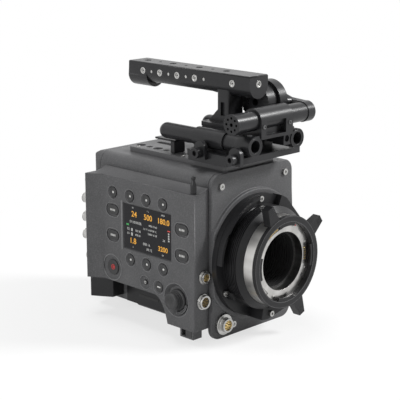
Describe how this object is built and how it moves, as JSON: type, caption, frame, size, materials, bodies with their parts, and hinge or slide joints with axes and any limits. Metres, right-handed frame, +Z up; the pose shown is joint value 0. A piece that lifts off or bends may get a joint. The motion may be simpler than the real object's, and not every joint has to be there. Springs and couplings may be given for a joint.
{
  "type": "digital cinema camera",
  "caption": "Box-shaped cinema camera body with lens mount and locking ring, side control panel, top handle and sliding viewfinder bracket.",
  "frame": {"origin": "mouth of the centre tripod thread, in the plane of the base", "axes": "-Y the way the lens looks, +X the operator side, +Z up"},
  "size_m": [0.1437, 0.217, 0.2375],
  "materials": {
    "body_paint": "fine matt texture",
    "black_metal": "black anodised, satin",
    "steel": "brushed",
    "plated": "plated",
    "contacts": "gold plated",
    "black_plastic": "matt",
    "key_plastic": "matt",
    "window": "clear",
    "filter_glass": "neutral grey",
    "board": "satin",
    "sink": "natural"
  },
  "bodies": {
    "camera": {"main_housing": "body_paint", "front_plate": "body_paint", "rear_cover": "body_paint", "base_plate": "black_metal", "top_plate": "black_metal", "right_side_panel": "body_paint", "connector_box": "black_metal", "left_side_cover": "body_paint", "display_module": "black_plastic", "display_glass": "window", "bnc_connectors": "plated", "side_connectors": "plated", "front_connectors": "plated", "viewfinder_connector": "plated", "rear_connectors": "plated", "plate_screws": "steel", "adapter_flange": "black_metal", "adapter_screws": "steel", "lens_mount": "steel", "mount_contacts": "contacts", "throat_baffle": "black_plastic", "sensor_module": "board", "sensor_glass": "window", "main_board": "board", "heat_sink": "sink", "fan_frame": "black_plastic", "tape_hook": "black_metal", "handle_bar": "black_metal", "handle_post": "black_metal", "handle_inserts": "steel", "vf_cradle": "black_metal", "cradle_bolts": "black_metal"},
    "door": {"media_door": "body_paint"},
    "lock_ring": {"locking_ring": "black_metal"},
    "wheel": {"nd_filter_wheel": "black_plastic", "nd_filters": "filter_glass"},
    "fan": {"fan_rotor": "black_plastic"},
    "rods": {"vf_rods": "black_metal", "rod_bridge": "black_metal"},
    "tube": {"cross_tube": "black_metal", "tube_cap": "black_metal"},
    "arm": {"swing_arm": "black_metal"},
    "rosette": {"rosette_disc": "black_metal"},
    "dial": {"menu_dial": "black_plastic"},
    "switch": {"power_switch": "black_plastic"},
    "key_upper_rear_body": {"key_upper_rear": "key_plastic"},
    "key_upper_middle_body": {"key_upper_middle": "key_plastic"},
    "key_upper_front_body": {"key_upper_front": "key_plastic"},
    "nd_key_body": {"nd_key": "key_plastic"},
    "key_lower_rear_body": {"key_lower_rear": "key_plastic"},
    "key_lower_middle_body": {"key_lower_middle": "key_plastic"},
    "key_lower_front_body": {"key_lower_front": "key_plastic"},
    "user_key_body": {"user_key": "key_plastic"},
    "clips_key_body": {"clips_key": "key_plastic"},
    "home_key_body": {"home_key": "key_plastic"},
    "menu_key_body": {"menu_key": "key_plastic"},
    "record_button_body": {"record_button": "key_plastic"},
    "help_key_body": {"help_key": "key_plastic"},
    "lock_key_body": {"lock_key": "key_plastic"}
  },
  "joints": [
    {"name": "door_hinge", "type": "hinge", "parent": "camera", "child": "door", "pos_m": [0.0605, 0.0681, 0.073], "axis": [0, 0, 1], "range_deg": [0, 95]},
    {"name": "lock_ring_turn", "type": "hinge", "parent": "camera", "child": "lock_ring", "pos_m": [0, -0.0985, 0.0729], "axis": [0, -1, 0], "range_deg": [0, 55]},
    {"name": "filter_wheel_turn", "type": "hinge", "parent": "camera", "child": "wheel", "pos_m": [0, -0.05494, 0.10118], "axis": [0, 1, 0], "continuous": true},
    {"name": "fan_spin", "type": "hinge", "parent": "camera", "child": "fan", "pos_m": [0, 0.0045, 0.0729], "axis": [0, 1, 0], "continuous": true},
    {"name": "rod_slide", "type": "slide", "parent": "camera", "child": "rods", "axis": [0, -1, 0], "range_m": [-0.01, 0.04]},
    {"name": "tube_slide", "type": "slide", "parent": "rods", "child": "tube", "axis": [1, 0, 0], "range_m": [-0.002, 0.022]},
    {"name": "arm_swing", "type": "hinge", "parent": "tube", "child": "arm", "pos_m": [0.049, -0.079, 0.2009], "axis": [1, 0, 0], "range_deg": [0, 145]},
    {"name": "rosette_turn", "type": "hinge", "parent": "arm", "child": "rosette", "pos_m": [0.024, -0.049, 0.2094], "axis": [1, 0, 0], "range_deg": [-90, 90]},
    {"name": "key_upper_rear_press", "type": "slide", "parent": "camera", "child": "key_upper_rear_body", "axis": [1, 0, 0], "range_m": [0, 0.001], "stiffness_N_per_m": 300},
    {"name": "key_upper_middle_press", "type": "slide", "parent": "camera", "child": "key_upper_middle_body", "axis": [1, 0, 0], "range_m": [0, 0.001], "stiffness_N_per_m": 300},
    {"name": "key_upper_front_press", "type": "slide", "parent": "camera", "child": "key_upper_front_body", "axis": [1, 0, 0], "range_m": [0, 0.001], "stiffness_N_per_m": 300},
    {"name": "nd_key_press", "type": "slide", "parent": "camera", "child": "nd_key_body", "axis": [1, 0, 0], "range_m": [0, 0.001], "stiffness_N_per_m": 300},
    {"name": "key_lower_rear_press", "type": "slide", "parent": "camera", "child": "key_lower_rear_body", "axis": [1, 0, 0], "range_m": [0, 0.001], "stiffness_N_per_m": 300},
    {"name": "key_lower_middle_press", "type": "slide", "parent": "camera", "child": "key_lower_middle_body", "axis": [1, 0, 0], "range_m": [0, 0.001], "stiffness_N_per_m": 300},
    {"name": "key_lower_front_press", "type": "slide", "parent": "camera", "child": "key_lower_front_body", "axis": [1, 0, 0], "range_m": [0, 0.001], "stiffness_N_per_m": 300},
    {"name": "user_key_press", "type": "slide", "parent": "camera", "child": "user_key_body", "axis": [1, 0, 0], "range_m": [0, 0.001], "stiffness_N_per_m": 300},
    {"name": "clips_key_press", "type": "slide", "parent": "camera", "child": "clips_key_body", "axis": [1, 0, 0], "range_m": [0, 0.001], "stiffness_N_per_m": 300},
    {"name": "home_key_press", "type": "slide", "parent": "camera", "child": "home_key_body", "axis": [1, 0, 0], "range_m": [0, 0.001], "stiffness_N_per_m": 300},
    {"name": "menu_key_press", "type": "slide", "parent": "camera", "child": "menu_key_body", "axis": [1, 0, 0], "range_m": [0, 0.001], "stiffness_N_per_m": 300},
    {"name": "record_button_press", "type": "slide", "parent": "camera", "child": "record_button_body", "axis": [1, 0, 0], "range_m": [0, 0.001], "stiffness_N_per_m": 300},
    {"name": "help_key_press", "type": "slide", "parent": "camera", "child": "help_key_body", "axis": [1, 0, 0], "range_m": [0, 0.001], "stiffness_N_per_m": 300},
    {"name": "lock_key_press", "type": "slide", "parent": "camera", "child": "lock_key_body", "axis": [1, 0, 0], "range_m": [0, 0.001], "stiffness_N_per_m": 300},
    {"name": "dial_turn", "type": "hinge", "parent": "camera", "child": "dial", "pos_m": [-0.074, -0.035, 0.038], "axis": [1, 0, 0], "continuous": true},
    {"name": "switch_slide", "type": "slide", "parent": "camera", "child": "switch", "axis": [0, 1, 0], "range_m": [0, 0.005]}
  ]
}
